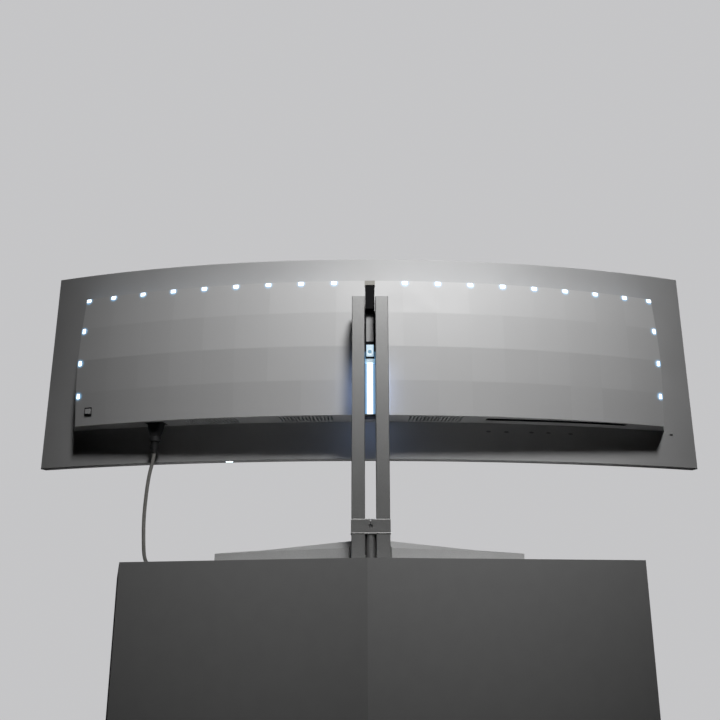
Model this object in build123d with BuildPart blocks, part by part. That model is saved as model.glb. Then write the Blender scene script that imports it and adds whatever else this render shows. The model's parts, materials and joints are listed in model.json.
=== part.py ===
from build123d import *

import os
from math import asin, cos, degrees, sin

# A wide curved desktop monitor with a light bar in its rear housing, on a stand of two upright blades.
# Millimetres. +Z is up, the screen faces -Y, and the rear housing and its light bar face +Y.
# The origin is on the desk, on the axis that the column swivels about.
# The screen and covers share one vertical curve axis. Places along them are given in the plan by a
# radius from that axis and a distance s along the surface, positive towards +X.
# The rear face of the housing bends more tightly, and places on it are given by their x.

# ---- monitor ----
monitor_width = 1190.0
monitor_height = 368.0
monitor_bottom = 175.0
monitor_top = monitor_bottom + monitor_height
screen_r = 1800.0
cover_r = 1815.0
cover_y = -94.0
axis_y = cover_y - cover_r
cover_half = 607.0
wall = 2.5
chassis_r = 1805.9
panel_r = 1804.6

# ---- rear housing: rows and columns of flat facets on its own tighter curve ----
housing_r = 1500.0
housing_y = -40.0
housing_axis_y = housing_y - housing_r
facet_width = 57.6
row_heights = [240.3, 298.7, 357.6, 418.9, 479.0]
row_bulge = [0.0, 6.3, 9.4, 6.3, 0.0]
housing_bottom = row_heights[0]
housing_top = row_heights[-1]
inner_heights = [housing_bottom + wall] + row_heights[1:4] + [housing_top - wall]
face_half = 519.5
side_half = 522.3
base_half = 541.9
side_chamfer = 5.0

# ---- lights round the housing ----
lens_long = 8.2
lens_short = 5.4
lens_gap = 0.1
lens_proud = 0.5
lens_inner = 13.3
top_lens_z = 475.0
top_lens_first = 61.5
top_lens_pitch = 57.6
corner_lens_x = 515.0
side_lens_x = 514.5
side_lens_width = 4.8
side_lens_heights = (293.1, 352.8, 414.2)
strip_inset = 15.5
strip_thickness = 1.0

# ---- light bar ----
bar_half = 10.2
bar_bottom = 235.0
bar_top = 361.0
bar_rear = -24.5
bar_front = -52.0
bar_wall = 1.2
core_half = 4.5
core_top = 324.5

# ---- stand ----
blade_width = 21.0
slot_width = 17.5
slot_half = slot_width / 2
column_half = slot_half + blade_width
column_front = -12.0
column_rear = 22.0
column_top = 426.8
column_depth = column_rear - column_front
column_mid = (column_front + column_rear) / 2
collar_bottom = 41.4
collar_top = 63.3
block_bottom = 4.8
blade_wall = 2.5
cavity_bottom = 190.0
cavity_x = slot_half + blade_width / 2
cavity_width = blade_width - 2 * blade_wall
cavity_depth = column_depth - 2 * blade_wall

# ---- height slide and tilt hinge ----
ladder_front = -8.0
ladder_rear = -4.0
ladder_mid = (ladder_front + ladder_rear) / 2
ladder_depth = ladder_rear - ladder_front
ladder_half = 7.8
ladder_bottom = 327.5
ladder_top = 453.65
tilt_y = -27.0
tilt_z = 390.0
knuckle_r = 9.0
knuckle_half = 15.0
shaft_r = 4.0
ear_inner = 15.6
ear_outer = 24.0

# ---- springs in the blades ----
spring_y = 8.0
spring_z = 405.0
spring_r = 9.8
spring_width = 10.0
axle_r = 2.0
running = 0.05

# ---- foot ----
foot_bottom = 1.5
hub_top = 4.3
boss_top = 7.0
hub_boss_r = 13.2
well_r = 38.6
spindle_r = 6.5

os.makedirs("parts", exist_ok=True)


def save(piece, name):
    """Label a finished piece and write it under its node name."""
    piece.part.label = name
    export_step(piece.part, f"parts/{name}.step")


def plan(radius, s, at_r=None):
    """Point in the plan: s is measured along the surface of radius at_r (radius itself if not given)."""
    turn = s / (at_r or radius)
    return (radius * sin(turn), axis_y + radius * cos(turn))


def facing_out(radius, s, z, at_r=None):
    """Place on the curve whose local +Y points out of the back of the monitor."""
    x, y = plan(radius, s, at_r)
    return Location((x, y, z), (0, 0, -degrees(s / (at_r or radius))))


def curved_strip(z, inner_r, outer_r, s_low, s_high, at_r=cover_r):
    """Sketch at height z of a strip between two radii and two places along the curve."""
    s_mid = (s_low + s_high) / 2
    with BuildSketch(Plane.XY.offset(z)) as strip:
        with BuildLine():
            ThreePointArc(plan(outer_r, s_low, at_r), plan(outer_r, s_mid, at_r), plan(outer_r, s_high, at_r))
            Line(plan(outer_r, s_high, at_r), plan(inner_r, s_high, at_r))
            ThreePointArc(plan(inner_r, s_high, at_r), plan(inner_r, s_mid, at_r), plan(inner_r, s_low, at_r))
            Line(plan(inner_r, s_low, at_r), plan(outer_r, s_low, at_r))
        make_face()
    return strip.sketch


def face_plan(x, inset=0.0):
    """Point in the plan on the curve of the housing's rear face, or inset towards the screen from it."""
    turn = asin(x / housing_r)
    return ((housing_r - inset) * sin(turn), housing_axis_y + (housing_r - inset) * cos(turn))


def on_face(x, z, inset):
    """Place inset behind the housing's rear curve, whose local +Y points out of it."""
    face_x, face_y = face_plan(x, inset)
    return Location((face_x, face_y, z), (0, 0, -degrees(asin(x / housing_r))))


def face_bulge(z):
    """How far the facets stand out from the housing's rear curve at height z."""
    for low, high, near, far in zip(row_heights, row_heights[1:], row_bulge, row_bulge[1:]):
        if low <= z <= high:
            return near + (far - near) * (z - low) / (high - low)
    return 0.0


def box_between(low, high, mode=Mode.ADD):
    """Box with two opposite corners."""
    middle = [(a + b) / 2 for a, b in zip(low, high)]
    with Locations(tuple(middle)):
        Box(*[b - a for a, b in zip(low, high)], mode=mode)


# =============================== screen and covers ===============================

panel_gap = 2.7
with BuildPart() as display_panel:
    panel_half = cover_half - panel_gap - 0.1
    panel_plan = curved_strip(monitor_bottom + panel_gap, screen_r, panel_r, -panel_half, panel_half)
    extrude(panel_plan, amount=monitor_height - 2 * panel_gap)
save(display_panel, "display_panel")

inner_half = cover_half - wall
with BuildPart() as bezel_frame:
    extrude(curved_strip(monitor_bottom, screen_r - 0.5, chassis_r, -cover_half, cover_half), amount=monitor_height)
    inside = curved_strip(monitor_bottom + wall, screen_r - 1, chassis_r + 1, -inner_half, inner_half)
    extrude(inside, amount=monitor_height - 2 * wall, mode=Mode.SUBTRACT)
save(bezel_frame, "bezel_frame")

mount_half = 50.0
boss_r = 6.0
chassis_gap = 3.5
mount_rear = -88.0
mount_plate_front = -92.0
mount_places = [(x, tilt_z + z) for x in (-mount_half, mount_half) for z in (-mount_half, mount_half)]

# Pressed steel tray behind the panel, with four bosses for the stand bracket.
with BuildPart() as steel_chassis:
    chassis_half = cover_half - chassis_gap
    tray = curved_strip(monitor_bottom + chassis_gap, panel_r + 0.1, chassis_r, -chassis_half, chassis_half)
    extrude(tray, amount=monitor_height - 2 * chassis_gap)
    for boss_x, boss_z in mount_places:
        with BuildSketch(Plane.XZ.offset(-mount_plate_front)):
            with Locations((boss_x, boss_z)):
                Circle(boss_r)
        extrude(amount=12)
    for boss_x, boss_z in mount_places:
        with BuildSketch(Plane.XZ.offset(-mount_plate_front)):
            with Locations((boss_x, boss_z)):
                Circle(2.05)
        extrude(amount=9, mode=Mode.SUBTRACT)
save(steel_chassis, "steel_chassis")

window_half = 536.0
window_bottom = 247.0
window_top = 475.0
security_s = -556.8
security_z = 234.5
status_s = 243.0
status_r = 1809.0

with BuildPart() as rear_cover:
    extrude(curved_strip(monitor_bottom, chassis_r + 0.1, cover_r, -cover_half, cover_half), amount=monitor_height)
    rear_face = rear_cover.faces().filter_by(GeomType.CYLINDER).sort_by(SortBy.AREA)[-1]
    chamfer(rear_face.edges(), length=1.2)
    inside = curved_strip(monitor_bottom + wall, chassis_r - 1, cover_r - wall, -inner_half, inner_half)
    extrude(inside, amount=monitor_height - 2 * wall, mode=Mode.SUBTRACT)
    window = curved_strip(window_bottom, cover_r - 2 * wall, cover_r + 1, -window_half, window_half)
    extrude(window, amount=window_top - window_bottom, mode=Mode.SUBTRACT)
    with Locations(facing_out(cover_r, security_s, security_z)):
        Box(7.0, 8.0, 3.2, mode=Mode.SUBTRACT)
    with Locations(facing_out(status_r, status_s, monitor_bottom, cover_r)):
        Box(12.2, 4.2, 3 * wall, mode=Mode.SUBTRACT)
save(rear_cover, "rear_cover")

with BuildPart() as security_plate:
    with Locations(facing_out(cover_r - 4.2, security_s, security_z, cover_r)):
        Box(18.0, 1.5, 10.0)
        Box(7.2, 4.0, 3.4, mode=Mode.SUBTRACT)
save(security_plate, "security_plate")

with BuildPart() as status_light_pipe:
    with Locations(facing_out(status_r, status_s, monitor_bottom + 1.4, cover_r)):
        Box(12.0, 4.0, 4.4)
    chamfer(status_light_pipe.edges().filter_by(Axis.Z), length=0.8)
save(status_light_pipe, "status_light_pipe")

# =============================== rear housing ===============================


def housing_section(z, bulge, skin):
    """Plan outline of the housing at height z: facet corners, side chamfers, sides and its open front.

    skin is 0 for the outside, or the wall thickness for the inside.
    """
    inner_r = cover_r + (0.3 if skin == 0 else -1.0)
    rear = [face_plan(k * facet_width, skin - bulge) for k in range(-8, 9)]
    right = [
        face_plan(face_half - skin, skin - bulge),
        face_plan(side_half - skin, skin - bulge + side_chamfer),
        plan(inner_r, base_half - skin, cover_r),
    ]
    front = [plan(inner_r, k * facet_width, cover_r) for k in range(9, -10, -1)]
    left = [(-x, y) for x, y in reversed(right)]
    with BuildSketch(Plane.XY.offset(z)) as section:
        with BuildLine():
            Polyline(*(rear + right + front + left), close=True)
        make_face()
    return section.sketch


def face_strip(z, half, inset, thickness):
    """Sketch at height z of a strip that follows the housing's rear curve."""
    outer = [face_plan(x, inset) for x in (-half, 0, half)]
    inner = [face_plan(x, inset + thickness) for x in (half, 0, -half)]
    with BuildSketch(Plane.XY.offset(z)) as strip:
        with BuildLine():
            ThreePointArc(*outer)
            Line(outer[2], inner[0])
            ThreePointArc(*inner)
            Line(inner[2], outer[0])
        make_face()
    return strip.sketch


opening_rear = -25.0
hinge_opening_half = 26.0
hinge_opening_bottom = 367.0
hinge_opening_top = 414.0
vent_groups = [(64.0, 15), (-155.0, 15), (228.0, 15)]
vent_pitch = 6.2
vent_width = 3.0
vent_length = 34.0
vent_r = 1842.0
port_low = -448.0
port_high = -195.0
port_inner_r = 1836.0
port_outer_r = 1852.0
inlet_s = 373.0
inlet_r = 1838.0
inlet_size = (34.0, 24.0)
screw_places = [208.0, -174.0]
screw_r = 1843.0
key_x = 494.5
key_z = 264.7
key_sink = 2.3
key_opening = 14.8

# Each lens: its place along the face, its height, its width and its own height.
lens_seats = [
    (side * (top_lens_first + i * top_lens_pitch), top_lens_z, lens_long, lens_short)
    for side in (-1, 1) for i in range(8)
]
lens_seats += [(side * corner_lens_x, top_lens_z, lens_long, lens_short) for side in (-1, 1)]
lens_seats += [
    (side * side_lens_x, z, side_lens_width, lens_long) for side in (-1, 1) for z in side_lens_heights
]

key_turn = degrees(asin(8 * facet_width / housing_r) + asin(face_half / housing_r)) / 2
key_place = Location((*face_plan(key_x, key_sink - face_bulge(key_z)), key_z), (0, 0, -key_turn))

with BuildPart() as rear_housing:
    loft([housing_section(z, bulge, 0) for z, bulge in zip(row_heights, row_bulge)], ruled=True)
    loft(
        [housing_section(z, bulge, wall) for z, bulge in zip(inner_heights, row_bulge)],
        ruled=True, mode=Mode.SUBTRACT,
    )
    # seats of the edge lights
    for seat_x, seat_z, seat_wide, seat_tall in lens_seats:
        with Locations(on_face(seat_x, seat_z, 2.0)):
            Box(seat_wide + 2 * lens_gap, 32, seat_tall + 2 * lens_gap, mode=Mode.SUBTRACT)
    # light bar, hinge and joystick openings
    box_between(
        (-bar_half - 0.2, -60, housing_bottom - 5), (bar_half + 0.2, opening_rear, bar_top + 2.4), Mode.SUBTRACT,
    )
    box_between(
        (-hinge_opening_half, -60, hinge_opening_bottom),
        (hinge_opening_half, opening_rear, hinge_opening_top),
        Mode.SUBTRACT,
    )
    with Locations(key_place):
        Box(key_opening, 12, key_opening, mode=Mode.SUBTRACT)
    # underside: vents, port recess, power inlet and screw holes
    for first, count in vent_groups:
        for i in range(count):
            with Locations(facing_out(vent_r, first + i * vent_pitch, housing_bottom)):
                Box(vent_width, vent_length, 4 * wall, mode=Mode.SUBTRACT)
    port_recess = curved_strip(housing_bottom - 1, port_inner_r, port_outer_r, port_low, port_high)
    extrude(port_recess, amount=2 * wall, mode=Mode.SUBTRACT)
    with Locations(facing_out(inlet_r, inlet_s, housing_bottom)):
        Box(inlet_size[0] + 0.2, inlet_size[1] + 0.2, 4 * wall, mode=Mode.SUBTRACT)
    for screw_s in screw_places:
        with Locations(facing_out(screw_r, screw_s, housing_bottom)):
            Cylinder(1.6, 4 * wall, mode=Mode.SUBTRACT)
            Cylinder(3.2, wall, mode=Mode.SUBTRACT)
save(rear_housing, "rear_housing")

with BuildPart() as housing_screws:
    for screw_s in screw_places:
        with Locations(facing_out(screw_r, screw_s, housing_bottom + 0.6)):
            Cylinder(3.0, 1.2)
            Cylinder(0.9, 1.0, align=(Align.CENTER, Align.CENTER, Align.MAX), mode=Mode.SUBTRACT)
        with Locations(facing_out(screw_r, screw_s, housing_bottom + 1.0)):
            Cylinder(1.5, 9.0, align=(Align.CENTER, Align.CENTER, Align.MIN))
save(housing_screws, "housing_screws")

# Clear light pipes that carry the light strips' light to the housing's edge.
with BuildPart() as edge_light_lenses:
    for seat_x, seat_z, seat_wide, seat_tall in lens_seats:
        outside = face_bulge(seat_z) + lens_proud
        with Locations(on_face(seat_x, seat_z, (lens_inner - outside) / 2)):
            Box(seat_wide, lens_inner + outside, seat_tall)
save(edge_light_lenses, "edge_light_lenses")

with BuildPart() as edge_light_strips:
    extrude(face_strip(top_lens_z - 7, 505.0, strip_inset, strip_thickness), amount=8.0)
    for side in (-1, 1):
        with Locations(on_face(side * side_lens_x, side_lens_heights[1], strip_inset + strip_thickness / 2)):
            Box(5.0, strip_thickness, 140.0)
save(edge_light_strips, "edge_light_strips")

# =============================== light bar ===============================

with BuildPart() as light_bar_channel:
    box_between((-bar_half, bar_front, bar_bottom + 3), (bar_half, bar_rear, bar_top))
    box_between(
        (-bar_half + bar_wall, bar_front + bar_wall, bar_bottom),
        (bar_half - bar_wall, bar_rear + 1, bar_top + 1),
        Mode.SUBTRACT,
    )
save(light_bar_channel, "light_bar_channel")

lens_front = bar_front + bar_wall + 5.0
with BuildPart() as light_bar_diffuser:
    with BuildSketch(Plane.XY.offset(bar_bottom + 3.2)):
        with BuildLine():
            Polyline((core_half, bar_rear - 1.5), (core_half, lens_front), (-core_half, lens_front),
                     (-core_half, bar_rear - 1.5))
            ThreePointArc((-core_half, bar_rear - 1.5), (0, bar_rear - 0.3), (core_half, bar_rear - 1.5))
        make_face()
    extrude(amount=core_top - bar_bottom - 3.2)
save(light_bar_diffuser, "light_bar_diffuser")

with BuildPart() as light_bar_side_glasses:
    for low, high in ((core_half + 0.1, bar_half - bar_wall - 0.1), (-bar_half + bar_wall + 0.1, -core_half - 0.1)):
        box_between((low, lens_front, bar_bottom + 3.2), (high, bar_rear - 0.8, core_top))
    chamfer(light_bar_side_glasses.edges().filter_by(Axis.Z).group_by(Axis.Y)[-1], length=0.5)
save(light_bar_side_glasses, "light_bar_side_glasses")

button_z = 345.0
button_r = 4.6
groove_bottom = 333.2
groove_top = 336.4
top_lens_half = bar_half - bar_wall - 0.1
with BuildPart() as light_bar_top_lens:
    box_between((-top_lens_half, lens_front, core_top + 1), (top_lens_half, bar_rear - 0.4, bar_top - 1))
    box_between(
        (-top_lens_half - 1, bar_rear - 1.6, groove_bottom), (top_lens_half + 1, bar_rear, groove_top), Mode.SUBTRACT,
    )
    with BuildSketch(Plane.XZ.offset(-bar_rear + 0.6)):
        with Locations((0, button_z)):
            Circle(button_r)
    extrude(amount=-1.2)
    chamfer(light_bar_top_lens.edges().filter_by(GeomType.CIRCLE).group_by(Axis.Y)[-1], length=0.4)
save(light_bar_top_lens, "light_bar_top_lens")

with BuildPart() as light_bar_board:
    box_between((-6.0, bar_front + bar_wall, bar_bottom + 4), (6.0, bar_front + bar_wall + 1.6, bar_top - 2))
save(light_bar_board, "light_bar_board")

with BuildPart() as light_bar_leds:
    for i in range(10):
        with Locations((0, bar_front + bar_wall + 2.1, bar_bottom + 10 + i * 12)):
            Box(3.5, 1.0, 2.8)
save(light_bar_leds, "light_bar_leds")

with BuildPart() as light_bar_end_caps:
    box_between((-bar_half, bar_front, bar_bottom), (bar_half, bar_rear, bar_bottom + 2.9))
    box_between((-bar_half, bar_front, bar_top + 0.05), (bar_half, bar_rear, bar_top + 2.2))
    chamfer(light_bar_end_caps.edges().filter_by(Axis.Z).group_by(Axis.Y)[-1], length=1.0)
save(light_bar_end_caps, "light_bar_end_caps")

# =============================== electronics ===============================

board_r = cover_r + 7.0
board_thickness = 1.6
main_s = -300.0
main_size = (230.0, 110.0)
main_z = 385.0
power_s = 290.0
power_size = (210.0, 110.0)


def circuit_board(s, size, z):
    """Flat board facing out of the back, with a hole near each corner."""
    with Locations(facing_out(board_r, s, z)):
        Box(size[0], board_thickness, size[1])
    with Locations(facing_out(board_r, s, z) * Location((0, 0, 0), (90, 0, 0))):
        with GridLocations(size[0] - 12, size[1] - 12, 2, 2):
            Cylinder(1.7, 4 * board_thickness, mode=Mode.SUBTRACT)


with BuildPart() as main_board:
    circuit_board(main_s, main_size, main_z)
    with Locations(facing_out(board_r + 3.3, main_s, main_z, board_r)):
        Box(34.0, 5.0, 34.0)
    with Locations(facing_out(board_r + 2.3, main_s - 70, main_z, board_r) * Location((-3, 1, 0))):
        Box(18.0, 3.0, 26.0)
save(main_board, "main_board")

with BuildPart() as board_shield:
    with Locations(facing_out(board_r + 8.0, main_s, main_z, board_r)):
        Box(main_size[0] - 24, 13.0, main_size[1] - 24)
    with Locations(facing_out(board_r + 7.4, main_s, main_z, board_r)):
        Box(main_size[0] - 26, 13.0, main_size[1] - 26, mode=Mode.SUBTRACT)
save(board_shield, "board_shield")

with BuildPart() as power_board:
    circuit_board(power_s, power_size, main_z)
    with Locations(facing_out(board_r + 0.8, power_s, main_z, board_r)):
        with Locations((-40, 14, 0)):
            Box(40.0, 28.0, 36.0)
        with Locations((40, 10, -20), (40, 10, 20)):
            Box(16.0, 20.0, 26.0)
save(power_board, "power_board")

with BuildPart() as board_standoffs:
    for s, size in ((main_s, main_size), (power_s, power_size)):
        place = facing_out(board_r, s, main_z) * Location((0, -board_thickness / 2 - 0.05, 0), (90, 0, 0))
        with Locations(place):
            with GridLocations(size[0] - 12, size[1] - 12, 2, 2):
                Cylinder(3.0, 11.5, align=(Align.CENTER, Align.CENTER, Align.MIN))
save(board_standoffs, "board_standoffs")

with BuildPart() as loudspeakers:
    for side in (-1, 1):
        with Locations(facing_out(cover_r + 24, side * 462.0, 340.0)):
            Box(46.0, 26.0, 90.0)
            with Locations((0, 13, 0)):
                Box(30.0, 4.0, 60.0)
save(loudspeakers, "loudspeakers")

tray_top = 258.0
port_r = (port_inner_r + port_outer_r) / 2
display_ports = [(-211.0, 15.0, 5.5), (-241.0, 15.0, 5.5), (-288.0, 16.5, 5.5)]
usb_ports = [(-319.0, 12.0, 10.5), (-356.0, 14.0, 6.5), (-380.0, 14.0, 6.5), (-404.0, 9.0, 3.4)]
audio_place = -432.0


def socket(s, width, depth):
    """Port socket whose mouth looks down into the port recess."""
    with Locations(facing_out(port_r, s, tray_top - 6, cover_r)):
        Box(width, depth, 15.0, align=(Align.CENTER, Align.CENTER, Align.MIN))
        Box(width - 2, depth - 2, 9.0, align=(Align.CENTER, Align.CENTER, Align.MIN), mode=Mode.SUBTRACT)


with BuildPart() as display_sockets:
    for port in display_ports:
        socket(*port)
save(display_sockets, "display_sockets")

with BuildPart() as usb_sockets:
    for port in usb_ports:
        socket(*port)
save(usb_sockets, "usb_sockets")

with BuildPart() as audio_socket:
    with Locations(facing_out(port_r, audio_place, tray_top - 6, cover_r)):
        Cylinder(3.6, 15.0, align=(Align.CENTER, Align.CENTER, Align.MIN))
        Cylinder(1.8, 13.0, align=(Align.CENTER, Align.CENTER, Align.MIN), mode=Mode.SUBTRACT)
save(audio_socket, "audio_socket")

tray_bottom = housing_bottom + 0.4
with BuildPart() as port_tray:
    outline = curved_strip(
        tray_bottom, port_inner_r + 0.2, port_outer_r - 0.2, port_low + 0.3, port_high - 0.3,
    )
    extrude(outline, amount=tray_top - tray_bottom)
    hollow = curved_strip(
        tray_bottom - 1, port_inner_r + 1.4, port_outer_r - 1.4, port_low + 1.6, port_high - 1.6,
    )
    extrude(hollow, amount=tray_top - tray_bottom - 0.2, mode=Mode.SUBTRACT)
    for s, width, depth in display_ports + usb_ports:
        with Locations(facing_out(port_r, s, tray_top, cover_r)):
            Box(width + 0.2, depth + 0.2, 6.0, mode=Mode.SUBTRACT)
    with Locations(facing_out(port_r, audio_place, tray_top, cover_r)):
        Cylinder(3.7, 6.0, mode=Mode.SUBTRACT)
save(port_tray, "port_tray")

with BuildPart() as port_board:
    port_board_plan = curved_strip(
        tray_top + 9.05, port_inner_r - 1, port_outer_r + 1, port_low + 6, port_high - 4,
    )
    extrude(port_board_plan, amount=board_thickness)
save(port_board, "port_board")

# =============================== power ===============================

plug_x, plug_y = plan(inlet_r, inlet_s)
inlet_top = 262.0
inlet_depth = 17.0
pin_places = ((-7, 1), (7, 1), (0, -3))
grip_top = 217.0
grip_bottom = 209.0
sleeve_bottom = 195.0
plug_bottom = 190.0
cord_r = 3.0

with BuildPart() as power_inlet:
    with Locations(facing_out(inlet_r, inlet_s, housing_bottom)):
        Box(*inlet_size, inlet_top - housing_bottom, align=(Align.CENTER, Align.CENTER, Align.MIN))
        Box(25.0, 17.0, inlet_depth, align=(Align.CENTER, Align.CENTER, Align.MIN), mode=Mode.SUBTRACT)
        for pin_x, pin_y in pin_places:
            with Locations((pin_x, pin_y, 3)):
                Box(2.0, 4.0, inlet_depth - 2.9, align=(Align.CENTER, Align.CENTER, Align.MIN))
save(power_inlet, "power_inlet")


def plug_section(z, width, depth, corner):
    """Rounded outline of the plug at height z, turned to sit square in the inlet."""
    across = Location((0, 0, 0), (0, 0, -degrees(inlet_s / inlet_r)))
    with BuildSketch(Plane(Location((plug_x, plug_y, z)) * across)) as section:
        RectangleRounded(width, depth, corner)
    return section.sketch


with BuildPart() as power_plug:
    extrude(plug_section(housing_bottom - 0.3, 24.6, 16.6, 3.0), amount=16.8)
    loft([
        plug_section(grip_top, 15.5, 14.0, 5.5),
        plug_section(housing_bottom - 11, 23.0, 17.5, 5.0),
        plug_section(housing_bottom - 0.3, 27.0, 19.0, 4.0),
    ], ruled=True)
    with Locations((plug_x, plug_y, grip_bottom)):
        Cylinder(9.0, grip_top - grip_bottom, align=(Align.CENTER, Align.CENTER, Align.MIN))
    with Locations((plug_x, plug_y, plug_bottom)):
        Cylinder(5.3, grip_top - plug_bottom, align=(Align.CENTER, Align.CENTER, Align.MIN))
    with Locations((plug_x, plug_y, sleeve_bottom)):
        Cylinder(6.0, grip_bottom - sleeve_bottom, align=(Align.CENTER, Align.CENTER, Align.MIN))
    for i in range(3):
        with Locations((plug_x, plug_y, sleeve_bottom + 1.4 + i * 4.2)):
            Cylinder(6.7, 2.4, align=(Align.CENTER, Align.CENTER, Align.MIN))
    for pin_x, pin_y in pin_places:
        with Locations(facing_out(inlet_r, inlet_s, housing_bottom + 2) * Location((pin_x, pin_y, 0))):
            Box(2.2, 4.2, 20.0, align=(Align.CENTER, Align.CENTER, Align.MIN), mode=Mode.SUBTRACT)
save(power_plug, "power_plug")

with BuildPart() as power_cord:
    with BuildLine() as cord_path:
        Spline(
            (plug_x, plug_y, plug_bottom - 0.1),
            (plug_x + 4.2, plug_y, 160.0),
            (plug_x + 8.6, plug_y, 115.0),
            (plug_x + 9.4, plug_y, 75.0),
            (plug_x + 7.6, plug_y - 1, 40.0),
            (plug_x + 6.4, plug_y - 11, 14.0),
            (plug_x + 5.0, plug_y - 38, cord_r + 0.6),
            (plug_x + 4.0, plug_y - 78, cord_r + 0.6),
            tangents=((0, 0, -1), (0, -1, 0)),
        )
    with BuildSketch(Plane(origin=cord_path.line @ 0, z_dir=cord_path.line % 0)):
        Circle(cord_r)
    sweep()
save(power_cord, "power_cord")

# =============================== joystick ===============================

key_pivot_depth = 11.5
with BuildPart() as joystick_bezel:
    with Locations(key_place):
        Box(14.6, 5.0, 14.6)
        Box(12.8, 6.0, 11.6, mode=Mode.SUBTRACT)
save(joystick_bezel, "joystick_bezel")

with BuildPart() as joystick_switch:
    with Locations(key_place * Location((0, -14.0, 0))):
        Box(15.0, 13.0, 15.0)
        with Locations((0, 2, 0)):
            Box(13.0, 13.0, 13.0, mode=Mode.SUBTRACT)
    with Locations(key_place * Location((0, -21.25, 0))):
        Box(40.0, 1.6, 22.0)
save(joystick_switch, "joystick_switch")

# The gimbal rocks sideways in the switch, the stick rocks up and down in the gimbal, and the knob is
# pushed in along the stick.
with BuildPart() as joystick_gimbal:
    with Locations(key_place * Location((0, -key_pivot_depth, 0))):
        Box(10.4, 4.0, 10.4)
        Cylinder(0.8, 12.9)
        Box(7.4, 6.0, 7.4, mode=Mode.SUBTRACT)
save(joystick_gimbal, "joystick_gimbal")

with BuildPart() as joystick_stick:
    with Locations(key_place * Location((0, -8.5, 0))):
        Box(4.0, 14.0, 4.0)
    with Locations(key_place * Location((0, -key_pivot_depth, 0), (0, 90, 0))):
        Cylinder(0.8, 7.3)
save(joystick_stick, "joystick_stick")

with BuildPart() as joystick_knob:
    with Locations(key_place * Location((0, 0.6, 0))):
        Box(11.0, 6.4, 9.6)
    chamfer(joystick_knob.faces().sort_by(Axis.Y)[-1].edges(), length=0.8)
    with Locations(key_place * Location((0, -2.6, 0))):
        Box(4.2, 4.4, 4.2, mode=Mode.SUBTRACT)
save(joystick_knob, "joystick_knob")

# =============================== hinge ===============================

with BuildPart() as head_bracket:
    box_between(
        (-60.0, mount_plate_front + 0.05, tilt_z - 60), (60.0, mount_rear, tilt_z + 60)
    )
    box_between((-knuckle_half, mount_rear, tilt_z - knuckle_r), (knuckle_half, tilt_y, tilt_z + knuckle_r))
    with BuildSketch(Plane.YZ.offset(-knuckle_half)):
        with Locations((tilt_y, tilt_z)):
            Circle(knuckle_r)
    extrude(amount=2 * knuckle_half)
    with BuildSketch(Plane.YZ.offset(-knuckle_half)):
        with Locations((tilt_y, tilt_z)):
            Circle(shaft_r + running)
    extrude(amount=2 * knuckle_half, mode=Mode.SUBTRACT)
    for boss_x, boss_z in mount_places:
        with BuildSketch(Plane.XZ.offset(-mount_rear)):
            with Locations((boss_x, boss_z)):
                Circle(2.2)
        extrude(amount=6, mode=Mode.SUBTRACT)
save(head_bracket, "head_bracket")

with BuildPart() as mount_screws:
    for boss_x, boss_z in mount_places:
        with BuildSketch(Plane.XZ.offset(-mount_rear - 0.05)):
            with Locations((boss_x, boss_z)):
                Circle(4.0)
        extrude(amount=-2.6)
        with BuildSketch(Plane.XZ.offset(-mount_rear - 0.05)):
            with Locations((boss_x, boss_z)):
                Circle(2.0)
        extrude(amount=11.5)
save(mount_screws, "mount_screws")

with BuildPart() as tilt_shaft:
    with BuildSketch(Plane.YZ.offset(-ear_outer - 1.8)):
        with Locations((tilt_y, tilt_z)):
            Circle(shaft_r)
    extrude(amount=2 * ear_outer + 3.6)
    for start in (-ear_outer - 1.5, ear_outer + 0.3):
        with BuildSketch(Plane.YZ.offset(start)):
            with Locations((tilt_y, tilt_z)):
                Circle(shaft_r + 2.2)
        extrude(amount=1.2)
save(tilt_shaft, "tilt_shaft")

with BuildPart() as friction_washers:
    for start in (-ear_inner + 0.05, knuckle_half + 0.05):
        with BuildSketch(Plane.YZ.offset(start)):
            with Locations((tilt_y, tilt_z)):
                Circle(knuckle_r - 0.5)
                Circle(shaft_r + running, mode=Mode.SUBTRACT)
        extrude(amount=ear_inner - knuckle_half - 0.1)
save(friction_washers, "friction_washers")

ear_plate_rear = column_front - 1.0
ear_plate_front = ear_plate_rear - 4.0
pad_half = 7.6
pad_bottom = 358.0
pad_top = 405.5
with BuildPart() as hinge_ears:
    box_between((-ear_outer, ear_plate_front, 367.0), (ear_outer, ear_plate_rear, 413.0))
    box_between((-pad_half, ear_plate_rear, pad_bottom), (pad_half, ladder_front - 0.05, pad_top))
    pad_edge = hinge_ears.edges().filter_by(Axis.X).group_by(Axis.Y)[-1].sort_by(Axis.Z)[-1]
    chamfer(pad_edge, length=1.6)
    for start in (-ear_outer, ear_inner):
        with BuildSketch(Plane.YZ.offset(start)):
            with BuildLine():
                Polyline(
                    (ear_plate_front, tilt_z + 18), (tilt_y, tilt_z + knuckle_r), (tilt_y, tilt_z - knuckle_r),
                    (ear_plate_front, tilt_z - 18), close=True,
                )
            make_face()
            with Locations((tilt_y, tilt_z)):
                Circle(knuckle_r)
        extrude(amount=ear_outer - ear_inner)
    with BuildSketch(Plane.YZ.offset(-ear_outer)):
        with Locations((tilt_y, tilt_z)):
            Circle(shaft_r + running)
    extrude(amount=2 * ear_outer, mode=Mode.SUBTRACT)
save(hinge_ears, "hinge_ears")

# =============================== height slide ===============================

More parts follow.
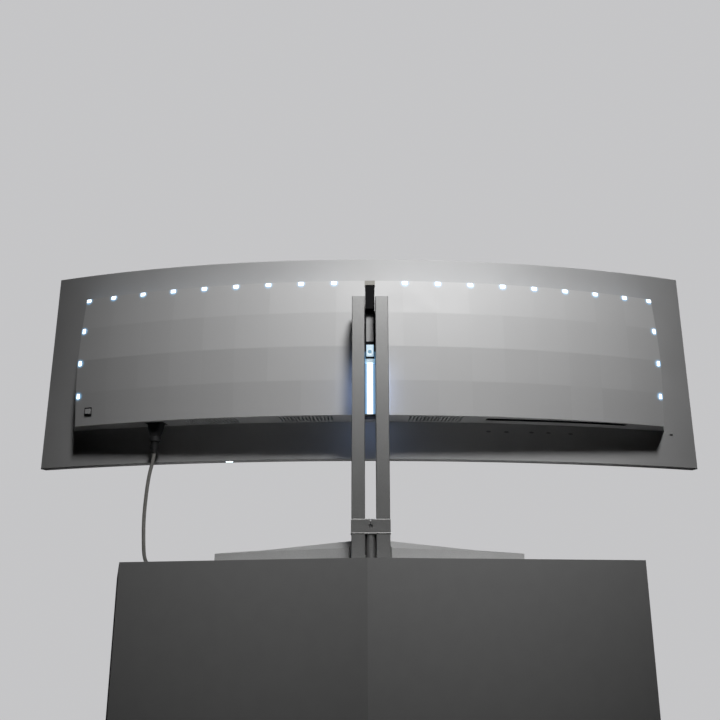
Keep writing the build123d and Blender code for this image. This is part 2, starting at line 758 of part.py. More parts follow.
arm_bottom = 340.0
arm_top = 388.0
window_half_width = 6.1
window_heights = [(330.4, 352.0), (356.4, 406.1)]
post_bottom = 412.0
post_rear = 3.0
with BuildPart() as slide_frame:
    box_between((-ladder_half, ladder_front, ladder_bottom), (ladder_half, ladder_rear, ladder_top))
    for low, high in window_heights:
        box_between(
            (-window_half_width, ladder_front - 1, low), (window_half_width, ladder_rear + 1, high), Mode.SUBTRACT,
        )
    for side in (-1, 1):
        inner, outer = sorted((side * (ladder_half - 0.5), side * (column_half - blade_wall - 0.5)))
        box_between((inner, ladder_front, arm_bottom), (outer, ladder_rear, arm_top))
    box_between((-ladder_half, ladder_rear, post_bottom), (ladder_half, post_rear, ladder_top))
save(slide_frame, "slide_frame")

cap_half = 8.55
with BuildPart() as slide_cap:
    box_between((-cap_half, ladder_front, ladder_top + 0.05), (cap_half, post_rear + 1, ladder_top + 8.05))
    chamfer(slide_cap.edges().group_by(Axis.Z)[-1], length=0.8)
save(slide_cap, "slide_cap")

pad_low = slot_half + blade_wall + 0.6
pad_high = column_half - blade_wall - 0.3
with BuildPart() as slide_pads:
    for side in (-1, 1):
        inner, outer = sorted((side * pad_low, side * pad_high))
        box_between((inner, ladder_rear + 0.05, arm_bottom), (outer, column_rear - blade_wall - 0.3, arm_top))
        box_between((inner, column_front + blade_wall + 0.1, arm_bottom), (outer, ladder_front - 0.05, arm_top))
save(slide_pads, "slide_pads")

# =============================== column ===============================


def blade(side):
    """One upright: a bar with a milled cavity for its spring and slide arm."""
    mid_x = side * cavity_x
    with Locations((mid_x, column_mid, (collar_top + column_top) / 2)):
        Box(blade_width, column_depth, column_top - collar_top)
    chamfer(edges().filter_by(Axis.Z), length=0.8)
    with Locations((mid_x, column_mid, cavity_bottom)):
        Box(cavity_width, cavity_depth, column_top, align=(Align.CENTER, Align.CENTER, Align.MIN),
            mode=Mode.SUBTRACT)
    slot_low, slot_high = sorted((side * (slot_half - 1), side * (slot_half + blade_wall + 1)))
    box_between((slot_low, ladder_front - 0.5, cavity_bottom + 4), (slot_high, ladder_rear + 0.5, arm_top + 4),
                Mode.SUBTRACT)
    with BuildSketch(Plane.YZ.offset(side * (slot_half - 1))) as axle_hole:
        with Locations((spring_y, spring_z)):
            Circle(axle_r + 0.03)
    extrude(axle_hole.sketch, amount=side * (blade_width - 0.4), mode=Mode.SUBTRACT)
    with Locations((mid_x, column_mid, collar_top - 1)):
        Cylinder(2.55, 24, align=(Align.CENTER, Align.CENTER, Align.MIN), mode=Mode.SUBTRACT)


with BuildPart() as left_blade:
    blade(1)
save(left_blade, "left_blade")

with BuildPart() as right_blade:
    blade(-1)
save(right_blade, "right_blade")

with BuildPart() as blade_caps:
    for side in (-1, 1):
        with Locations((side * cavity_x, column_mid, column_top - 0.4)):
            Box(cavity_width - 0.1, cavity_depth - 0.1, 5.0, align=(Align.CENTER, Align.CENTER, Align.MAX))
save(blade_caps, "blade_caps")

with BuildPart() as spring_axles:
    for side in (-1, 1):
        with BuildSketch(Plane.YZ.offset(side * (slot_half + 0.4))):
            with Locations((spring_y, spring_z)):
                Circle(axle_r)
        extrude(amount=side * (blade_width - 2.0))
save(spring_axles, "spring_axles")


def spring_coil(side):
    """Rolled constant-force spring on its axle."""
    with BuildSketch(Plane.YZ.offset(side * (cavity_x - spring_width / 2))) as coil:
        with Locations((spring_y, spring_z)):
            Circle(spring_r)
            Circle(axle_r + running, mode=Mode.SUBTRACT)
    extrude(coil.sketch, amount=side * spring_width)


with BuildPart() as left_spring:
    spring_coil(1)
save(left_spring, "left_spring")

with BuildPart() as right_spring:
    spring_coil(-1)
save(right_spring, "right_spring")

tape_y = spring_y - spring_r - 0.15
with BuildPart() as spring_tapes:
    for side in (-1, 1):
        mid_x = side * cavity_x
        box_between((mid_x - 4.5, tape_y - 0.3, arm_top + 0.05), (mid_x + 4.5, tape_y, spring_z))
save(spring_tapes, "spring_tapes")

notch_half = 4.8
notch_depth = 4.2
collar_screw_z = 52.5


def notch_section(y, half, bottom):
    """Triangle across the collar's notch at depth y."""
    with BuildSketch(Plane.XZ.offset(-y)) as section:
        with BuildLine():
            Polyline((-half, collar_top + 0.5), (half, collar_top + 0.5), (0, bottom), close=True)
        make_face()
    return section.sketch


def collar_outline(z, extra):
    """Plan outline of the collar at height z, wider than the column by extra."""
    with BuildSketch(Plane.XY.offset(z)) as outline:
        with Locations((0, column_mid)):
            Rectangle(2 * column_half + extra, column_depth + extra)
    return outline.sketch


with BuildPart() as collar:
    with Locations((0, column_mid, (collar_bottom + collar_top) / 2)):
        Box(2 * column_half + 1.2, column_depth + 1.2, collar_top - collar_bottom - 0.1)
    chamfer(collar.edges().group_by(Axis.Z)[-1], length=0.9)
    # narrow lip round the lower edge
    loft([collar_outline(collar_bottom + 0.05, 2.4), collar_outline(collar_bottom + 1.4, 1.0)], ruled=True)
    # pointed notch whose floor slopes up from the rear edge
    notch = [
        notch_section(column_rear + 1, notch_half, collar_top - notch_depth),
        notch_section(column_rear - 5, 0.4, collar_top + 0.2),
    ]
    loft(notch, ruled=True, mode=Mode.SUBTRACT)
    with BuildSketch(Plane.XZ.offset(-column_rear - 1)):
        with Locations((0, collar_screw_z)):
            Circle(3.0)
        with Locations((0, collar_screw_z + 4)):
            Rectangle(1.0, 5.0)
    extrude(amount=4.0, mode=Mode.SUBTRACT)
    with Locations((-cavity_x, column_mid, collar_bottom), (cavity_x, column_mid, collar_bottom)):
        Cylinder(2.7, 60, mode=Mode.SUBTRACT)
    with Locations((0, 0, collar_bottom)):
        Cylinder(spindle_r + 0.02, 12, mode=Mode.SUBTRACT)
save(collar, "collar")

with BuildPart() as collar_screw:
    with BuildSketch(Plane.XZ.offset(-column_rear + 2.35)):
        with Locations((0, collar_screw_z)):
            Circle(2.5)
    extrude(amount=-1.6)
    with BuildSketch(Plane.XZ.offset(-column_rear + 0.75)):
        with Locations((0, collar_screw_z)):
            RegularPolygon(1.2, 6)
    extrude(amount=1.0, mode=Mode.SUBTRACT)
save(collar_screw, "collar_screw")

block_slot_half = 9.0
block_slot_front = 8.0
post_r = 7.5
post_y = 13.5
bearing_room_r = hub_boss_r + 0.7
bearing_room_top = 10.0
with BuildPart() as column_block:
    with Locations((0, column_mid, (block_bottom + collar_bottom) / 2)):
        Box(2 * column_half, column_depth, collar_bottom - block_bottom)
    chamfer(column_block.edges().filter_by(Axis.Z), length=0.8)
    # open slot at the rear with a round post standing in it
    box_between(
        (-block_slot_half, block_slot_front, block_bottom - 1),
        (block_slot_half, column_rear + 1, collar_bottom + 1),
        Mode.SUBTRACT,
    )
    with Locations((0, post_y, block_bottom)):
        Cylinder(post_r, collar_bottom - block_bottom, align=(Align.CENTER, Align.CENTER, Align.MIN))
    Cylinder(spindle_r + 0.02, 2 * collar_top, mode=Mode.SUBTRACT)
    Cylinder(bearing_room_r, 2 * bearing_room_top, mode=Mode.SUBTRACT)
    for side in (-1, 1):
        with Locations((side * cavity_x, column_mid, block_bottom)):
            Cylinder(2.7, 80, mode=Mode.SUBTRACT)
            Cylinder(4.7, 14, mode=Mode.SUBTRACT)
save(column_block, "column_block")

with BuildPart() as blade_screws:
    for side in (-1, 1):
        with Locations((side * cavity_x, column_mid, block_bottom + 2)):
            Cylinder(4.5, 4.9, align=(Align.CENTER, Align.CENTER, Align.MIN))
            Cylinder(2.5, 75.0, align=(Align.CENTER, Align.CENTER, Align.MIN))
save(blade_screws, "blade_screws")

# =============================== foot ===============================

flange_r = 11.0
flange_room_top = 3.5
with BuildPart() as swivel_spindle:
    with Locations((0, 0, foot_bottom + 1)):
        Cylinder(spindle_r, collar_bottom + 1, align=(Align.CENTER, Align.CENTER, Align.MIN))
    with Locations((0, 0, foot_bottom + 0.3)):
        Cylinder(flange_r, 1.6, align=(Align.CENTER, Align.CENTER, Align.MIN))
save(swivel_spindle, "swivel_spindle")

with BuildPart() as swivel_bearing:
    with Locations((0, 0, boss_top + 0.02)):
        Cylinder(hub_boss_r, 2.9, align=(Align.CENTER, Align.CENTER, Align.MIN))
        Cylinder(spindle_r + running, 20, mode=Mode.SUBTRACT)
save(swivel_bearing, "swivel_bearing")

leg_rear_top = 22.5
leg_tip_rise = 2.5
leg_front_top = 14.0
ridge_inset = 14.0
ridge_heights = [(0.0, 35.4), (182.0, 27.2), (280.0, 26.2)]
leg_outline = [
    (0, -82), (256, -228.5), (272, -191.7), (34, -20), (34, 24),
    (-34, 24), (-34, -20), (-272, -191.7), (-256, -228.5),
]


def leg_section(side, x, ridge):
    """Cut across a leg at distance x from the middle: upright rear face, sloping facet, ridge, low front."""
    rear = -20 - (x - 34) * (191.7 - 20) / (272 - 34)
    front = -82 - x * (228.5 - 82) / 256
    rear_top = leg_rear_top + leg_tip_rise * x / 280
    with BuildSketch(Plane.YZ.offset(side * x)) as section:
        with BuildLine():
            Polyline(
                (rear, foot_bottom), (rear, rear_top), (rear - ridge_inset, ridge),
                (front, leg_front_top), (front, foot_bottom), close=True,
            )
        make_face()
    return section.sketch


with BuildPart() as base_foot:
    for side in (-1, 1):
        loft([leg_section(side, x, ridge) for x, ridge in ridge_heights], ruled=True)
    with BuildSketch(Plane.XY.offset(foot_bottom)):
        with BuildLine():
            Polyline(*leg_outline, close=True)
        make_face()
    extrude(amount=60, mode=Mode.INTERSECT)
    # flat hub and its round well for the turning column
    box_between((-34, -40, foot_bottom), (34, 24, hub_top))
    with Locations((0, 0, hub_top)):
        Cylinder(well_r, 60, align=(Align.CENTER, Align.CENTER, Align.MIN), mode=Mode.SUBTRACT)
        Cylinder(hub_boss_r, boss_top - hub_top, align=(Align.CENTER, Align.CENTER, Align.MIN))
    Cylinder(spindle_r + running, 60, mode=Mode.SUBTRACT)
    Cylinder(flange_r + 1, 2 * flange_room_top, mode=Mode.SUBTRACT)
save(base_foot, "base_foot")

foot_pads = [
    (252.0, -205.0), (-252.0, -205.0), (130.0, -118.0), (-130.0, -118.0),
    (0.0, -60.0), (25.0, 14.0), (-25.0, 14.0),
]
with BuildPart() as rubber_feet:
    with Locations(*[(x, y, 0) for x, y in foot_pads]):
        Cylinder(8.0, foot_bottom, align=(Align.CENTER, Align.CENTER, Align.MIN))
    # the middle pad closes the spindle's recess
    Cylinder(16.0, foot_bottom, align=(Align.CENTER, Align.CENTER, Align.MIN))
save(rubber_feet, "rubber_feet")
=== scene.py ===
import json
from math import cos, pi, radians, sin

import bpy
from mathutils import Matrix, Vector


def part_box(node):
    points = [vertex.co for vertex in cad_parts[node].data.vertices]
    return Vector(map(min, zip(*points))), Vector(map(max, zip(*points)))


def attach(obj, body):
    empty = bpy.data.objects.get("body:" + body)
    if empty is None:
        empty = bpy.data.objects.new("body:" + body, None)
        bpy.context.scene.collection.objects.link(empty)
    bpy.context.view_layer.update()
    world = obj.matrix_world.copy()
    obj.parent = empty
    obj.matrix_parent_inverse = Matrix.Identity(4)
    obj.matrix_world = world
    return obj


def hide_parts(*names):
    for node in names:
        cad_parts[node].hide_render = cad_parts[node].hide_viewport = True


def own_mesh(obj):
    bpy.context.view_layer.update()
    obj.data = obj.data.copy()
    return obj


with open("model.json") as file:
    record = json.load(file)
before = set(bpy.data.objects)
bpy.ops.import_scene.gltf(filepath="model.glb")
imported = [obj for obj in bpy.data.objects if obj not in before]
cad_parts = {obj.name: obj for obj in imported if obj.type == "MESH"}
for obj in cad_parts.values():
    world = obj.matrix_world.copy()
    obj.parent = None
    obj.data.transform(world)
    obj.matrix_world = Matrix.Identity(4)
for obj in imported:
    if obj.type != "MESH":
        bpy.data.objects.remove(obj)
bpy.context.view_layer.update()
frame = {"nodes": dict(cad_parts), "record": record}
nodes = frame["nodes"]

# ------------------------------------------------------------------ shape the looks follow (metres)

FACET_WIDTH = 0.0576
ROW_EDGES = (0.2987, 0.3576, 0.4189)
LENS_PLACES = [(0.0615 + i * 0.0576, 0.475) for i in range(8)] + [(0.515, 0.475)]
LENS_PLACES += [(0.5165, 0.2931), (0.5176, 0.3528), (0.5168, 0.4142)]
# Inner and outer reach of the painted glow round each edge-light lens.
PAINTED_GLOW_REACH = (0.003, 0.0105)
MARK_EDGE = (0.003, 0.0055)
MARK_HEIGHT_SCALE = 2.6
LED_PITCH = 0.012
BOSS_PLACE = (0.0, 0.345)
PORT_MARKS = [(-0.2056, 0.2257), (-0.2373, 0.2256), (-0.2819, 0.2261), (-0.3126, 0.2263), (-0.3528, 0.2260)]


# ------------------------------------------------------------------ node helpers

class Surface:
    """One node material, with short calls for the nodes that the finishes share."""

    def __init__(self, name, roughness=0.5, metallic=0.0, specular=0.5):
        self.mat = bpy.data.materials.new(name)
        self.mat.use_nodes = True
        self.tree = self.mat.node_tree
        self.bsdf = self.tree.nodes["Principled BSDF"]
        self.bsdf.inputs["Roughness"].default_value = roughness
        self.bsdf.inputs["Metallic"].default_value = metallic
        self.bsdf.inputs["Specular IOR Level"].default_value = specular
        self.place = self.tree.nodes.new("ShaderNodeTexCoord").outputs["Object"]

    def node(self, kind, *inputs, **settings):
        made = self.tree.nodes.new(kind)
        for key, value in settings.items():
            setattr(made, key, value)
        for socket, value in zip(made.inputs, inputs):
            self.feed(socket, value)
        return made

    def feed(self, socket, value):
        if value is None:
            return
        if isinstance(value, bpy.types.NodeSocket):
            self.tree.links.new(value, socket)
        else:
            socket.default_value = value

    def math(self, operation, *inputs):
        return self.node("ShaderNodeMath", *inputs, operation=operation).outputs[0]

    def noise(self, scale, detail=2.0, roughness=0.5, stretch=None):
        where = self.place
        if stretch:
            where = self.node("ShaderNodeVectorMath", where, stretch, operation="MULTIPLY").outputs[0]
        made = self.node("ShaderNodeTexNoise")
        self.feed(made.inputs["Vector"], where)
        made.inputs["Scale"].default_value = scale
        made.inputs["Detail"].default_value = detail
        made.inputs["Roughness"].default_value = roughness
        return made.outputs["Fac"]

    def span(self, value, low, high, to_low, to_high, smooth=False):
        made = self.node("ShaderNodeMapRange", value, low, high, to_low, to_high)
        made.interpolation_type = "SMOOTHSTEP" if smooth else "LINEAR"
        return made.outputs["Result"]

    def tint(self, color, factor):
        """Colour multiplied by a grey factor."""
        scaled = self.node("ShaderNodeVectorMath", color, operation="SCALE")
        self.feed(scaled.inputs["Scale"], factor)
        return scaled.outputs[0]

    def mix(self, factor, a, b):
        made = self.node("ShaderNodeMix", data_type="RGBA")
        self.feed(made.inputs["Factor"], factor)
        self.feed(made.inputs["A"], (*a, 1.0) if isinstance(a, tuple) else a)
        self.feed(made.inputs["B"], (*b, 1.0) if isinstance(b, tuple) else b)
        return made.outputs["Result"]

    def color(self, value):
        self.feed(self.bsdf.inputs["Base Color"], value)

    def rough(self, value):
        self.feed(self.bsdf.inputs["Roughness"], value)

    def bump(self, height, strength, distance):
        made = self.node("ShaderNodeBump")
        made.inputs["Strength"].default_value = strength
        made.inputs["Distance"].default_value = distance
        self.feed(made.inputs["Height"], height)
        self.feed(self.bsdf.inputs["Normal"], made.outputs["Normal"])

    def glow(self, color, strength):
        self.feed(self.bsdf.inputs["Emission Color"], (*color, 1.0) if isinstance(color, tuple) else color)
        self.feed(self.bsdf.inputs["Emission Strength"], strength)

    def axes(self):
        split = self.node("ShaderNodeSeparateXYZ", self.place)
        return split.outputs[0], split.outputs[1], split.outputs[2]

    def gap(self, spot, place):
        """Distance in the upright plane between a spot and a place given as (x, z)."""
        made = self.node("ShaderNodeVectorMath", spot, (place[0], place[1], 0.0), operation="DISTANCE")
        return made.outputs["Value"]


def moulded_plastic(name, tone, roughness, grain=1500.0, drift=0.05):
    """Matt moulded plastic: fine grain, slow drift of tone and slightly uneven sheen."""
    s = Surface(name, roughness)
    slow = s.noise(7.0, 2.0)
    fine = s.noise(grain, 3.0, 0.7)
    factor = s.math("ADD", s.span(slow, 0.3, 0.7, 1 - drift, 1 + drift), s.span(fine, 0.3, 0.7, -0.02, 0.02))
    s.color(s.tint(tone, factor))
    s.rough(s.span(s.noise(35.0), 0.3, 0.7, roughness - 0.05, roughness + 0.05))
    s.bump(fine, 0.35, 0.00006)
    return s


def cover_plastic():
    """Rear cover: the moulded plastic, with faint printed marks under the ports."""
    tone = (0.49, 0.49, 0.492)
    s = moulded_plastic("cover_plastic", tone, 0.5)
    x, _, z = s.axes()
    spot = s.node("ShaderNodeCombineXYZ", x, s.math("MULTIPLY", z, MARK_HEIGHT_SCALE)).outputs[0]
    printed = None
    for mark_x, mark_z in PORT_MARKS:
        away = s.gap(spot, (mark_x, mark_z * MARK_HEIGHT_SCALE))
        near = s.span(away, *MARK_EDGE, 1.0, 0.0, smooth=True)
        printed = near if printed is None else s.math("MAXIMUM", printed, near)
    plain = s.bsdf.inputs["Base Color"].links[0].from_socket
    s.color(s.mix(s.math("MULTIPLY", printed, 0.6), plain, (0.05, 0.05, 0.05)))
    return s


def housing_plastic():
    """Light grey moulding: each facet keeps its own tone, and a blue glow round each edge light is painted on
    to it as emission.
    """
    s = Surface("housing_plastic", 0.5)
    x, _, z = s.axes()
    column = s.math("FLOOR", s.math("DIVIDE", x, FACET_WIDTH))
    row = None
    for edge in ROW_EDGES:
        above = s.math("GREATER_THAN", z, edge)
        row = above if row is None else s.math("ADD", row, above)
    cell = s.node("ShaderNodeCombineXYZ", column, row).outputs[0]
    own = s.node("ShaderNodeTexWhiteNoise", cell).outputs["Value"]
    fine = s.noise(1600.0, 3.0, 0.7)
    factor = s.math("ADD", s.span(own, 0.0, 1.0, 0.975, 1.025), s.span(fine, 0.3, 0.7, -0.015, 0.015))
    factor = s.math("MULTIPLY", factor, s.span(s.noise(5.0), 0.3, 0.7, 0.99, 1.01))
    s.color(s.tint((0.60, 0.60, 0.602), factor))
    s.rough(s.span(s.noise(30.0), 0.3, 0.7, 0.46, 0.54))
    s.bump(fine, 0.3, 0.00005)
    # Painted glow: the housing itself emits blue light round each edge-light lens, in place of the lenses'
    # light falling on it.
    spot = s.node("ShaderNodeCombineXYZ", s.math("ABSOLUTE", x), z).outputs[0]
    painted_lens_glow = None
    for place in LENS_PLACES:
        near = s.span(s.gap(spot, place), *PAINTED_GLOW_REACH, 1.0, 0.0, smooth=True)
        painted_lens_glow = near if painted_lens_glow is None else s.math("MAXIMUM", painted_lens_glow, near)
    s.glow((0.20, 0.58, 1.0), s.math("MULTIPLY", s.math("POWER", painted_lens_glow, 1.6), 0.60))
    return s


def sanded_metal(name, tone, roughness=0.55, grain=900.0, metallic=0.35, bevel_highlight=None):
    """Sand-textured metallic coat: bright and dark grains, and a painted highlight on the upward-facing
    bevels.
    """
    s = Surface(name, roughness, metallic=metallic)
    sand = s.noise(grain, 4.0, 0.75)
    patch = s.noise(12.0, 3.0)
    factor = s.math("ADD", s.span(sand, 0.25, 0.75, 0.80, 1.20), s.span(patch, 0.3, 0.7, -0.04, 0.04))
    coat = s.tint(tone, factor)
    if bevel_highlight:
        # Painted highlight: bevels that face upward get a near-white colour, as if lit from above, dimmed on
        # the lowest bevels.
        upward = s.node("ShaderNodeSeparateXYZ", s.node("ShaderNodeNewGeometry").outputs["Normal"]).outputs[2]
        bevel = s.math("MULTIPLY", s.math("GREATER_THAN", upward, 0.3), s.math("LESS_THAN", upward, 0.95))
        _, _, z = s.axes()
        coat = s.mix(bevel, coat, s.tint(bevel_highlight, s.span(z, 0.046, 0.056, 0.20, 1.0)))
    s.color(coat)
    s.rough(s.span(sand, 0.3, 0.7, roughness - 0.1, roughness + 0.1))
    s.bump(sand, 0.6, 0.00012)
    return s


def satin_black(name, tone=(0.018, 0.018, 0.019), roughness=0.42, specular=0.5):
    s = Surface(name, roughness, specular=specular)
    fine = s.noise(2200.0, 3.0, 0.6)
    s.color(s.tint(tone, s.span(s.noise(25.0), 0.3, 0.7, 0.85, 1.2)))
    s.rough(s.span(fine, 0.3, 0.7, roughness - 0.06, roughness + 0.06))
    s.bump(fine, 0.3, 0.00005)
    return s


def brushed_steel(name, tone, stretch, roughness=0.32):
    """Steel with fine drawn lines along one axis."""
    s = Surface(name, roughness, metallic=1.0)
    lines = s.noise(900.0, 3.0, 0.6, stretch)
    s.color(s.tint(tone, s.span(lines, 0.3, 0.7, 0.88, 1.1)))
    s.rough(s.span(lines, 0.3, 0.7, roughness - 0.07, roughness + 0.1))
    s.bump(lines, 0.25, 0.00004)
    return s


def lit_lens():
    """Edge light: white where it is thickest, blue towards its rim."""
    s = Surface("lit_lens", 0.2)
    rim = s.node("ShaderNodeLayerWeight", 0.35).outputs["Facing"]
    flicker = s.span(s.noise(400.0), 0.3, 0.7, 0.95, 1.05)
    s.color((0.85, 0.93, 1.0, 1.0))
    s.glow(s.mix(rim, (1.0, 1.0, 1.0), (0.35, 0.70, 1.0)), s.math("MULTIPLY", flicker, 2.6))
    return s


def lit_core():
    """Opal diffuser of the light bar, with the LEDs behind just visible as a slow ripple."""
    s = Surface("lit_core", 0.3)
    _, _, z = s.axes()
    ripple = s.math("SINE", s.math("MULTIPLY", z, 2 * pi / LED_PITCH))
    strength = s.span(ripple, -1.0, 1.0, 1.5, 1.7)
    s.color((0.9, 0.95, 1.0, 1.0))
    s.glow((0.86, 0.95, 1.0), strength)
    return s


def lit_glass():
    """Pale blue acrylic beside the core: bright near the core, deeper blue at the outer edge."""
    s = Surface("lit_glass", 0.15)
    x, _, z = s.axes()
    out = s.span(s.math("ABSOLUTE", x), 0.0046, 0.0088, 0.0, 1.0, smooth=True)
    streak = s.span(s.noise(60.0, 2.0, 0.5, (6.0, 6.0, 0.4)), 0.3, 0.7, 0.9, 1.1)
    tone = s.mix(out, (0.42, 0.66, 0.92), (0.12, 0.27, 0.48))
    s.color((0.05, 0.09, 0.14, 1.0))
    s.glow(tone, s.math("MULTIPLY", streak, 0.80))
    return s


def lit_top():
    """Upper light guide of the bar: cyan white, with painted shade darkening the round boss inside a bright
    ring of painted highlight.
    """
    s = Surface("lit_top", 0.2)
    x, _, z = s.axes()
    out = s.span(s.math("ABSOLUTE", x), 0.003, 0.0088, 0.0, 1.0, smooth=True)
    tone = s.mix(out, (0.74, 0.90, 1.0), (0.20, 0.46, 0.72))
    spot = s.node("ShaderNodeCombineXYZ", x, z).outputs[0]
    gap = s.gap(spot, BOSS_PLACE)
    # Painted shade inside the round boss, and a painted highlight on its rim.
    inside = s.span(gap, 0.0030, 0.0036, 1.0, 0.0, smooth=True)
    ring = s.math("MULTIPLY", s.span(gap, 0.0034, 0.0040, 0.0, 1.0), s.span(gap, 0.0046, 0.0052, 1.0, 0.0))
    tone = s.mix(inside, tone, (0.30, 0.50, 0.66))
    tone = s.mix(ring, tone, (0.95, 1.0, 1.0))
    s.color(tone)
    s.glow(tone, s.span(z, 0.3255, 0.360, 0.55, 0.95))
    return s


def circuit_board():
    """Green solder mask with copper tracks just showing."""
    s = Surface("circuit_board", 0.35)
    tracks = s.node("ShaderNodeTexBrick")
    s.feed(tracks.inputs["Vector"], s.place)
    tracks.inputs["Scale"].default_value = 160.0
    tracks.inputs["Mortar Size"].default_value = 0.04
    s.color(s.mix(tracks.outputs["Fac"], (0.01, 0.11, 0.05), (0.04, 0.20, 0.09)))
    s.bump(tracks.outputs["Fac"], 0.3, 0.0001)
    return s


def screen_coat():
    """Unlit panel with an anti-glare coat."""
    s = Surface("screen_coat", 0.28)
    haze = s.noise(3000.0, 2.0, 0.6)
    s.color(s.tint((0.010, 0.010, 0.012), s.span(s.noise(3.0), 0.3, 0.7, 0.9, 1.1)))
    s.rough(s.span(haze, 0.3, 0.7, 0.24, 0.34))
    s.bump(haze, 0.2, 0.00003)
    return s


def cord_jacket(name, tone):
    """Soft matt jacket with a faint lengthwise pull and dust."""
    s = Surface(name, 0.5)
    dust = s.noise(300.0, 4.0, 0.7)
    s.color(s.tint(tone, s.span(dust, 0.3, 0.75, 0.85, 1.3)))
    s.bump(s.noise(700.0, 2.0, 0.5, (1.0, 1.0, 0.15)), 0.3, 0.00008)
    return s


finishes = {
    "cover_plastic": cover_plastic(),
    "housing_plastic": housing_plastic(),
    "blade_metal": sanded_metal(
        "blade_metal", (0.355, 0.355, 0.353), 0.48, metallic=0.85, bevel_highlight=(0.95, 0.95, 0.94),
    ),
    "foot_metal": sanded_metal("foot_metal", (0.62, 0.62, 0.617)),
    "black_plastic": satin_black("black_plastic", roughness=0.5),
    "black_metal": satin_black("black_metal", (0.004, 0.004, 0.005), 0.5, 0.08),
    "cap_grey": sanded_metal("cap_grey", (0.31, 0.30, 0.275), 0.5),
    "hinge_metal": sanded_metal("hinge_metal", (0.36, 0.36, 0.36), 0.5),
    "steel": brushed_steel("steel", (0.58, 0.58, 0.59), (1.0, 1.0, 0.1)),
    "chassis_steel": brushed_steel("chassis_steel", (0.62, 0.62, 0.64), (0.1, 1.0, 1.0), 0.4),
    "screen": screen_coat(),
    "edge_light": lit_lens(),
    "bar_core": lit_core(),
    "bar_glass": lit_glass(),
    "circuit": circuit_board(),
    "led": moulded_plastic("led_package", (0.85, 0.80, 0.60), 0.3),
    "port_metal": brushed_steel("port_metal", (0.72, 0.72, 0.72), (1.0, 1.0, 0.2), 0.25),
    "cord_rubber": cord_jacket("cord_jacket", (0.26, 0.255, 0.24)),
    "rubber": satin_black("rubber_pad", (0.02, 0.02, 0.02), 0.7),
    "pad_plastic": moulded_plastic("acetal", (0.80, 0.80, 0.76), 0.35),
    "status_light": lit_lens(),
}
special = {"light_bar_top_lens": lit_top(), "power_plug": cord_jacket("plug_rubber", (0.028, 0.028, 0.029))}

slot_of = {part["node"]: part["material_slot"] for part in frame["record"]["subparts"]}
for name, piece in nodes.items():
    finish = special.get(name) or finishes[slot_of[name]]
    piece.data.materials.clear()
    piece.data.materials.append(finish.mat)


def soften(name, width, segments=2):
    """Round a CAD piece's edges slightly, for its highlights."""
    bevel = nodes[name].modifiers.new("edge", "BEVEL")
    bevel.width = width
    bevel.segments = segments
    bevel.limit_method = "ANGLE"
    bevel.angle_limit = radians(35)
    bevel.harden_normals = False


soften("edge_light_lenses", 0.0006, 3)
soften("slide_cap", 0.0004)

# ------------------------------------------------------------------ power cord, held at its plug end

cord = nodes["power_cord"]
cord_copy = bpy.data.objects.new("power_cord_jacket", cord.data.copy())
bpy.context.scene.collection.objects.link(cord_copy)
for face in cord_copy.data.polygons:
    face.use_smooth = True
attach(cord_copy, "head")
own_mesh(cord_copy)
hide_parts("power_cord")

# ------------------------------------------------------------------ stage, lights and camera

PALE = (0.56, 0.56, 0.57)


def stage_finish(name, seen, lit):
    """Pale stage colour: mostly steady to the camera, casting little light on the object, with painted shade
    darkening the side faces against the top.
    """
    s = Surface(name, 0.9, specular=0.1)
    grain = s.span(s.noise(40.0, 4.0), 0.3, 0.7, 0.98, 1.02)
    upward = s.node("ShaderNodeSeparateXYZ", s.node("ShaderNodeNewGeometry").outputs["Normal"]).outputs[2]
    # Painted shade: faces that do not face up get a darker colour, down to 0.45 of the top's.
    s.color(s.tint(lit, s.math("MULTIPLY", grain, s.span(upward, 0.0, 1.0, 0.45, 1.0))))
    camera_ray = s.node("ShaderNodeLightPath").outputs["Is Camera Ray"]
    s.glow(seen, s.math("MULTIPLY", camera_ray, 1.0))
    return s


def prism(name, outline, low, high, finish):
    """Upright prism on a plan outline."""
    mesh = bpy.data.meshes.new(name)
    count = len(outline)
    points = [(x, y, low) for x, y in outline] + [(x, y, high) for x, y in outline]
    sides = [(i, (i + 1) % count, (i + 1) % count + count, i + count) for i in range(count)]
    mesh.from_pydata(points, [], sides + [tuple(reversed(range(count))), tuple(range(count, 2 * count))])
    mesh.materials.append(finish.mat)
    made = bpy.data.objects.new(name, mesh)
    bpy.context.scene.collection.objects.link(made)
    return made


# The plinth's rear corner points at the camera, and its top is the plane that the object stands on.
plinth_outline = [(0.006, 0.110), (-0.406, 0.048), (-0.56, -0.62), (0.56, -0.62), (0.386, -0.002)]
plinth_finish = stage_finish("plinth_pale", (0.0, 0.0, 0.0), (0.80, 0.80, 0.80))
prism("plinth", plinth_outline, -0.9, 0.0, plinth_finish)
floor_finish = stage_finish("floor_pale", PALE, (0.04, 0.04, 0.04))
prism("floor", [(-9.0, -9.0), (9.0, -9.0), (9.0, 9.0), (-9.0, 9.0)], -0.95, -0.9, floor_finish)

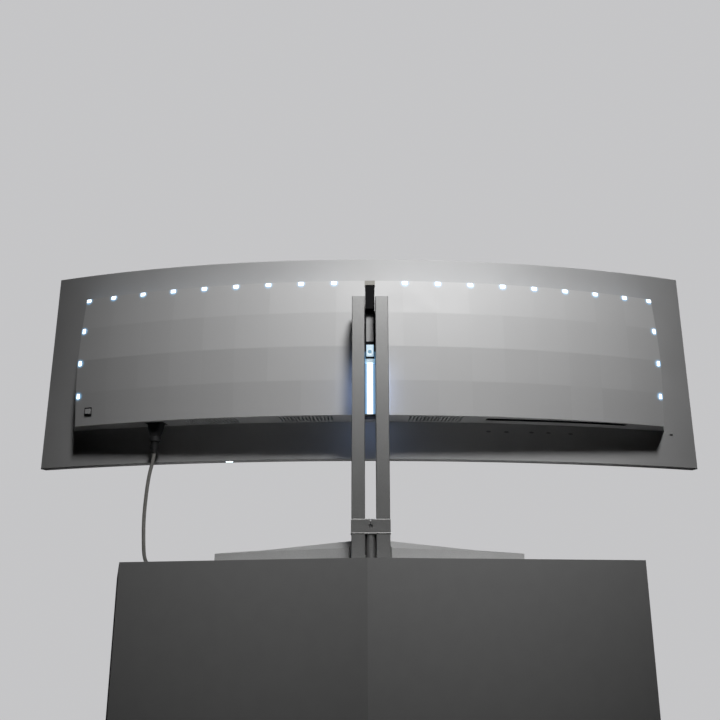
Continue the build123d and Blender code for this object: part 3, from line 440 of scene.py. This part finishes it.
world = bpy.data.worlds.new("studio")
world.use_nodes = True
bpy.context.scene.world = world
sky = world.node_tree
path = sky.nodes.new("ShaderNodeLightPath")
seen = sky.nodes.new("ShaderNodeMix")
seen.data_type = "RGBA"
seen.inputs["A"].default_value = (0.0008, 0.0008, 0.0008, 1.0)
seen.inputs["B"].default_value = (*PALE, 1.0)
sky.links.new(path.outputs["Is Camera Ray"], seen.inputs["Factor"])
sky.links.new(seen.outputs["Result"], sky.nodes["Background"].inputs["Color"])


def aim(thing, place, target):
    thing.location = place
    thing.rotation_euler = (Vector(target) - Vector(place)).to_track_quat("-Z", "Y").to_euler()


def light(name, kind, place, target, power, color=(1.0, 1.0, 1.0), **settings):
    data = bpy.data.lights.new(name, kind)
    data.energy = power
    data.color = color
    for key, value in settings.items():
        setattr(data, key, value)
    made = bpy.data.objects.new(name, data)
    bpy.context.scene.collection.objects.link(made)
    aim(made, place, target)
    return made


light("key", "SPOT", (-0.454, 1.874, 2.664), (-0.097, -0.05, 0.60), 545,
      spot_size=radians(24.6), spot_blend=1.0, shadow_soft_size=0.42)
light("front_fill", "AREA", (0.5, -3.0, 0.45), (0, -0.1, 0.33), 7, size=2.0)
bar_low, bar_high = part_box("light_bar_diffuser")
for side in (-1, 1):
    place = (side * 0.0125, -0.0265, (bar_low.z + bar_high.z) / 2)
    glow = light("bar_spill", "AREA", place, (side * 0.06, -0.045, place[2]), 0.012, (0.45, 0.60, 1.0),
                 shape="RECTANGLE", size=0.003, size_y=0.085)
    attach(glow, "head")
under = light("bar_under", "AREA", (0, -0.034, bar_low.z - 0.006), (0, -0.094, bar_low.z - 0.05), 0.007,
              (0.40, 0.58, 1.0), size=0.012)
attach(under, "head")

camera_data = bpy.data.cameras.new("camera")
camera_data.sensor_width = 36.0
camera_data.lens = 42.322
camera = bpy.data.objects.new("camera", camera_data)
bpy.context.scene.collection.objects.link(camera)
pitch, yaw, roll = radians(16.625), radians(-0.020), radians(-0.005)
forward = Vector((-sin(yaw) * cos(pitch), -cos(yaw) * cos(pitch), sin(pitch)))
right = forward.cross(Vector((0, 0, 1))).normalized()
up = right.cross(forward)
rolled_right = cos(roll) * right + sin(roll) * up
rolled_up = cos(roll) * up - sin(roll) * right
turned = Matrix((rolled_right, rolled_up, -forward)).transposed().to_4x4()
camera.matrix_world = Matrix.Translation((0.0160, 1.3315, -0.0744)) @ turned
bpy.context.scene.camera = camera
bpy.context.scene.view_settings.view_transform = "Standard"
